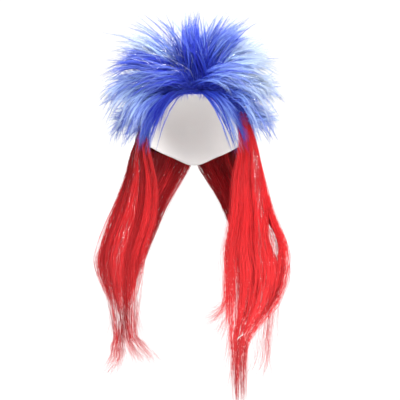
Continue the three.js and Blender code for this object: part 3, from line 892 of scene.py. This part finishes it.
def straggler(rows, outside, place, leaves, end, count, tone):
    """A thin lock that works its way to one place in a hank, then leaves it for an end in millimetres."""
    kind = STRAGGLER
    along = np.linspace(kind.start, 1, kind.points)[None] * np.ones((count, 1))
    follow = np.minimum(along, leaves)
    own = np.array(place) + rng.normal(0, kind.places, (count, 2))
    outwards = ((follow - kind.start) / (leaves - kind.start))[..., None]
    paths = in_section(rows, own[:, None] * (kind.inside + (1 - kind.inside) * outwards), follow, outside)
    t = (np.maximum(along - leaves, 0) / (1 - leaves))[..., None]
    last = in_section(rows, own[:, None], np.full((count, 1), leaves), outside)
    earlier = in_section(rows, own[:, None], np.full((count, 1), leaves - kind.before), outside)
    goal = ((np.array(end) + rng.normal(0, kind.ends, (count, 3))) * MM)[:, None]
    distance = norm(goal - last, axis=-1, keepdims=True)
    bend = last + unit(last - earlier) * kind.onwards * distance
    curve = (1 - t) ** 2 * last + 2 * t * (1 - t) * bend + t * t * goal
    paths = waved(np.where(t > 0, curve, paths), along, *kind.wave)
    paths = kept_off_cap(paths, uniform(*HANK.off_cap, count)[:, None] * MM)
    radii = uniform(*kind.radii, count) * MM
    tones = toned(rng.normal(tone, kind.spread, count))
    return tubes(paths, taper(along, radii, kind.tip * MM), tones, along)


# The nape's hair has a dark tone: painted shade, for the hair that hangs behind the face opening
NAPE = dict(
    count=1250, segments=7, clumps=80, ends=(0.82, 1.02), tone=0.1, edges=(-1, 1.3), gather=0.1,
    wander=0.03, radius=0.44)
TAIL = dict(gather=0.1, begins=0.3, closer=1.3)
RIGHT_TOP = [(-80, 66, -60, 92, 20, 10), (-100, 70, -52, 94, 28, 12)]  # hair under the locks of the temple

# Hanks: node, sections and settings. A tail's first section lies inside the fall that it comes out of
FALLS = [
    ("fall_front_left", FRONT_LEFT, dict(
        outside=-1, count=2150, segments=12, clumps=160, ends=(0.62, 0.95), tone=0.62, edges=(-1, 1.04),
        flare=0.35, flare_from=0.84, radius=0.27, closer=1.15)),
    ("fall_front_right", RIGHT_TOP + FRONT_RIGHT[1:], dict(
        outside=1, count=2450, segments=12, clumps=160, ends=(0.55, 0.8), tone=0.78, long_share=0.14,
        begins=0.1, edges=(-0.76, 1.02), stray_edge=-0.9, flare=0.35, flare_from=0.84, radius=0.26,
        tip=0.16, closer=1.25, parting=(0.74, 0.14, 0.432, 0.032, 0.22))),
    ("fall_nape_left", NAPE_LEFT, dict(outside=1, **NAPE)),
    ("fall_nape_right", NAPE_RIGHT, dict(outside=-1, **NAPE)),
    ("tail_left_outer", [(-340, -106, -60, -140, -42, 18), *TAIL_LEFT_OUTER], dict(
        outside=-1, count=130, segments=8, clumps=60, ends=(0.75, 1.08), tone=0.38, spread=2.3, radius=0.17,
        tip=0.11, **TAIL)),
    ("tail_left_inner", [(-340, -92, -66, -124, -52, 18), *TAIL_LEFT_INNER], dict(
        outside=-1, count=190, segments=8, clumps=90, ends=(0.65, 1.1), tone=0.38, spread=1.8, radius=0.16,
        tip=0.1, **TAIL)),
    ("tail_right_outer", [(-350, 112, -56, 140, -40, 16), *TAIL_RIGHT_OUTER], dict(
        outside=1, count=44, segments=7, clumps=40, ends=(0.6, 1.04), tone=0.5, spread=2.3, radius=0.16,
        tip=0.12, **TAIL)),
]

# Thin locks that leave their hank: place in the section, where it leaves, its end and how many strands
STRAGGLERS = {
    "fall_front_right": [
        ((-0.82, 0.2), 0.60, (10, -92, -420), 26),
        ((-0.80, 0.5), 0.62, (20, -94, -410), 22),
        ((-0.84, -0.2), 0.62, (26, -90, -432), 28),
        ((-0.80, 0.3), 0.64, (38, -88, -446), 26),
        ((-0.75, 0.3), 0.68, (48, -84, -490), 20),
        ((-0.40, 0.4), 0.74, (60, -74, -540), 24),
        ((0.10, 0.4), 0.74, (76, -68, -546), 24),
        ((0.80, 0.3), 0.62, (118, -54, -476), 8),
        ((0.92, 0.2), 0.60, (140, -46, -470), 6),
    ],
    "fall_front_left": [
        ((-0.8, 0.3), 0.70, (-62, -74, -470), 12),
        ((-0.6, 0.3), 0.72, (-74, -70, -492), 14),
        ((-0.2, 0.3), 0.72, (-92, -64, -496), 14),
        ((0.2, 0.3), 0.72, (-112, -60, -490), 12),
        ((0.6, 0.2), 0.72, (-128, -56, -500), 14),
        ((0.8, 0.0), 0.72, (-144, -52, -478), 10),
    ],
    "tail_right_outer": [
        ((0.8, 0.2), 0.4, (140, -52, -514), 6),
        ((0.5, 0.2), 0.4, (120, -52, -500), 6),
    ],
}
for node, rows, settings in FALLS:
    parts = [hank(rows, **settings)]
    for place, leaves, end, count in STRAGGLERS.get(node, []):
        parts.append(straggler(rows, settings["outside"], place, leaves, end, count, settings["tone"]))
    piece = add_piece("hair_" + node, parts, red)
    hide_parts(node)


# Silver tinsel: single bright strands among the hair
TINSEL_TONES = (0.05, 0.95)
TINSEL_STREAKS = dict(stretch=(40, 30, 1), scale=5, detail=2)
TINSEL_COLOURS = [(0.35, (0.75, 0.82, 0.95)), (0.5, (0.96, 0.97, 0.97)), (0.65, (0.9, 0.96, 0.82))]
TINSEL_ROUGHNESS = (0.15, 0.4)
CROWN_TINSEL = Kind(
    count=110, segments=10, radius=0.13, wave=(1.5, 1.2), root=2, turns=(-44, 56), places=(0.5, 0.95),
    heights=(36, 66), outwards=(0, 46), scatter=10)
FALL_TINSEL = Kind(
    count=10, points=61, radius=0.1, wave=(3, 2), first=0.05, lasts=(0.35, 0.75), rates=(40, 80), depth=0.9,
    rise=0.16, off_cap=7)
CURL_TINSEL = Kind(
    count=8, points=11, radius=0.2, lengths=(0.8, 1), swing=0.5, scatter=0.5, size=(3, 2, 13),
    place=(75, -82, -439))  # the top of the curl


def tinsel_material():
    material, tree, shader = new_material("tinsel")
    uv = add_node(tree, "UVMap", {}, uv_map=UV_MAP).outputs["UV"]
    noise = streaks(tree, uv, **TINSEL_STREAKS)
    set_inputs(tree, shader, {
        "Base Color": ramp(tree, noise, TINSEL_COLOURS),
        "Roughness": map_range(tree, noise, NOISE_RANGE, TINSEL_ROUGHNESS),
        "Metallic": 1,
    })
    return material


def tinsel(kind, paths, along):
    """Strands of one kind of tinsel, as thick at the end as at the root."""
    radii = np.full(paths.shape[:2], kind.radius * MM)
    return tubes(paths, radii, uniform(*TINSEL_TONES, kind.count), along)


def crown_tinsel(kind):
    """Strands that come out of the front of the crown and lie over the hair."""
    turn = uniform(*kind.turns, kind.count)
    drop = edge_drop(turn, PILE_EDGE) * uniform(*kind.places, kind.count)
    start = on_cap(turn, drop, CAP_WALL + kind.root * MM)
    height = uniform(*kind.heights, kind.count) * MM
    bend = on_cap(turn, drop, height)
    outwards = away_from_swirl(start) * uniform(*kind.outwards, (kind.count, 1)) * MM
    end = inside_box(bend + outwards + rng.normal(0, kind.scatter * MM, (kind.count, 3)))
    paths, along = bezier(start, bend, end, np.ones(kind.count), kind.segments)
    return tinsel(kind, waved(paths, along, *kind.wave), along)


def fall_tinsel(kind, rows, outside, inner, outer):
    """Strands between two places across a fall that come up through its outer face here and there."""
    last = uniform(*kind.lasts, (kind.count, 1))
    along = np.linspace(kind.first, 1, kind.points)[None] * last
    across_fall = uniform(inner, outer, kind.count)
    phase = uniform(0, FULL_TURN, (kind.count, 1))
    rate = uniform(*kind.rates, (kind.count, 1))
    rise = kind.depth + kind.rise * np.sin(phase + rate * along)
    places = np.stack([
        np.broadcast_to(across_fall[:, None], along.shape),
        np.sqrt(1 - across_fall ** 2)[:, None] * rise,
    ], axis=-1)
    paths = waved(in_section(rows, places, along, outside), along, *kind.wave)
    paths = kept_off_cap(paths, np.full((kind.count, 1), kind.off_cap * MM))
    return tinsel(kind, paths, along)


def curl_tinsel(kind):
    """A few strands whose ends curl together out of the right fall."""
    along = np.linspace(0, 1, kind.points)[None] * uniform(*kind.lengths, (kind.count, 1))
    wide, deep, tall = kind.size
    swing = np.cos(math.pi * along) + kind.swing * np.sin(FULL_TURN * along)
    bow = np.stack([wide * swing, -deep * np.sin(math.pi * along), -tall * along], axis=-1)
    paths = (np.array(kind.place) + bow + rng.normal(0, kind.scatter, (kind.count, 1, 3))) * MM
    return tinsel(kind, paths, along)


tinsel_parts = [
    crown_tinsel(CROWN_TINSEL),
    fall_tinsel(FALL_TINSEL, FRONT_LEFT, outside=-1, inner=-0.3, outer=0.45),
    fall_tinsel(FALL_TINSEL, FRONT_RIGHT, outside=1, inner=0.1, outer=0.62),
    curl_tinsel(CURL_TINSEL),
]
add_piece("tinsel", tinsel_parts, tinsel_material())


# Cap: a plain pale net with a rolled hem
CAP_TURNS = 96
CAP_ROWS = 26
CAP_FIRST = 0.01  # share of the way to the edge where the first row lies
HEM_START = 0.95
HEM = 0.5 * MM
HEM_SHARES = [0.965, 0.98, 1.0]
HEM_SWELL = [HEM, HEM, 0.2 * HEM]
HEM_OUTSIDE = 0.3  # share of the swell that shows outside
WALL_INSET = 0.1 * MM  # of both faces from the solid's
WEAVE = "Weave"
NET_WAVES = {"Scale": 180, "Distortion": 0.4}
NET_BUMPS = {"Strength": 0.35, "Distance": 0.4 * MM}
NET_COLOURS = [(0, (0.8, 0.79, 0.77)), (1, (0.94, 0.94, 0.93))]
NET_ROUGHNESS = (0.95, 0.75)


def cap_wall():
    """The cap's closed wall. Its last rows swell a little into a hem."""
    turns = np.arange(CAP_TURNS + 1) * 360 / CAP_TURNS
    shares = np.concatenate([np.linspace(CAP_FIRST, HEM_START, CAP_ROWS), HEM_SHARES])
    swell = np.concatenate([np.zeros(CAP_ROWS), HEM_SWELL])[:, None]
    drop = edge_drop(turns, CAP_EDGE)[None] * shares[:, None]
    outer = on_cap(turns[None], drop, CAP_WALL - WALL_INSET + HEM_OUTSIDE * swell)
    inner = on_cap(turns[None], drop, WALL_INSET - swell)
    rows, width = drop.shape
    vertices = np.concatenate([outer.reshape(-1, 3), inner.reshape(-1, 3)])
    layer = rows * width
    faces = wall_faces(rows, width, CAP_TURNS)
    faces += [(k, k + 1, layer + k + 1, layer + k) for k in range(CAP_TURNS)]
    girth = np.radians(turns)[None] * np.sin(np.radians(np.minimum(drop, 90)))
    weave = np.stack([girth * HALF_WIDTH, np.radians(drop) * CROWN_HEIGHT], axis=-1).reshape(-1, 2)
    return vertices, np.array(faces), np.concatenate([weave, weave])


def net_material():
    material, tree, shader = new_material("cap_net")
    uv = add_node(tree, "UVMap", {}, uv_map=WEAVE).outputs["UV"]
    inputs = {"Vector": uv, **NET_WAVES}
    both = add_node(tree, "Math", {}, operation="MAXIMUM")
    for place, direction in enumerate(("X", "Y")):
        threads = add_node(tree, "TexWave", inputs, wave_type="BANDS", bands_direction=direction)
        tree.links.new(threads.outputs["Fac"], both.inputs[place])
    height = both.outputs["Value"]
    bump = add_node(tree, "Bump", {"Height": height, **NET_BUMPS})
    set_inputs(tree, shader, {
        "Base Color": ramp(tree, height, NET_COLOURS),
        "Roughness": map_range(tree, height, (0, 1), NET_ROUGHNESS),
        "Normal": bump.outputs["Normal"],
    })
    return material


cap = add_piece("cap_net_shell", [cap_wall()], net_material(), WEAVE)
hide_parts("cap")


# Stage: white surroundings, soft light and a pale floor
FLOOR_HEIGHT = -0.62
FLOOR_SIZE = 1.4
BACKDROP = 1.1  # brightness of the surroundings as seen
AMBIENT = 0.42  # brightness of the surroundings as light
FLOOR_LOOK = {"Base Color": (0.95, 0.95, 0.95, 1), "Roughness": 0.9}
WIG_MIDDLE = Vector((0, 0, -0.2))

# Lights: name, place, size, power
LIGHTS = [
    ("key", (1.0, -2.2, 0.9), 1.0, 78),
    ("fill", (-1.4, -2.0, 0.1), 1.4, 26),
    ("top", (0, 0.3, 1.7), 1.6, 60),
    ("back", (0.6, 2.4, 0.8), 1.4, 36),
]


def add_floor():
    mesh = bpy.data.meshes.new("floor")
    half = FLOOR_SIZE / 2
    corners = [(-half, -half), (half, -half), (half, half), (-half, half)]
    mesh.from_pydata([(x, y, FLOOR_HEIGHT) for x, y in corners], [], [(0, 1, 2, 3)])
    material, tree, shader = new_material("floor_paper")
    set_inputs(tree, shader, FLOOR_LOOK)
    mesh.materials.append(material)
    floor = add_object("floor", mesh)


def add_light(name, place, size, power):
    data = bpy.data.lights.new(name, "AREA")
    data.shape = "DISK"
    data.size = size
    data.energy = power
    light = add_object(name, data)
    light.location = place
    light.rotation_mode = "QUATERNION"
    light.rotation_quaternion = (WIG_MIDDLE - Vector(place)).to_track_quat("-Z", "Y")


def add_world():
    world = bpy.data.worlds.new("studio")
    world.use_nodes = True
    tree = world.node_tree
    seen = add_node(tree, "LightPath", {}).outputs["Is Camera Ray"]
    strength = map_range(tree, seen, (0, 1), (AMBIENT, BACKDROP))
    set_inputs(tree, tree.nodes["Background"], {"Color": (1, 1, 1, 1), "Strength": strength})
    bpy.context.scene.world = world


add_floor()
add_world()
for light in LIGHTS:
    add_light(*light)

# Camera: level, from the front, with a long lens
VIEW_WIDTH = 0.652  # width of the picture at the front of the hair
VIEW_PLANE = -0.05
CAMERA_PLACE = (0.0098, -4.0, -0.225)
SENSOR = 36
FARTHEST = 100  # metres that the camera sees
camera_data = bpy.data.cameras.new("camera")
camera_data.sensor_width = SENSOR
camera_data.lens = SENSOR * (VIEW_PLANE - CAMERA_PLACE[1]) / VIEW_WIDTH
camera_data.clip_end = FARTHEST
camera = add_object("camera", camera_data)
camera.location = CAMERA_PLACE
camera.rotation_euler = (math.pi / 2, 0, 0)
bpy.context.scene.camera = camera
bpy.context.scene.view_settings.view_transform = "Standard"
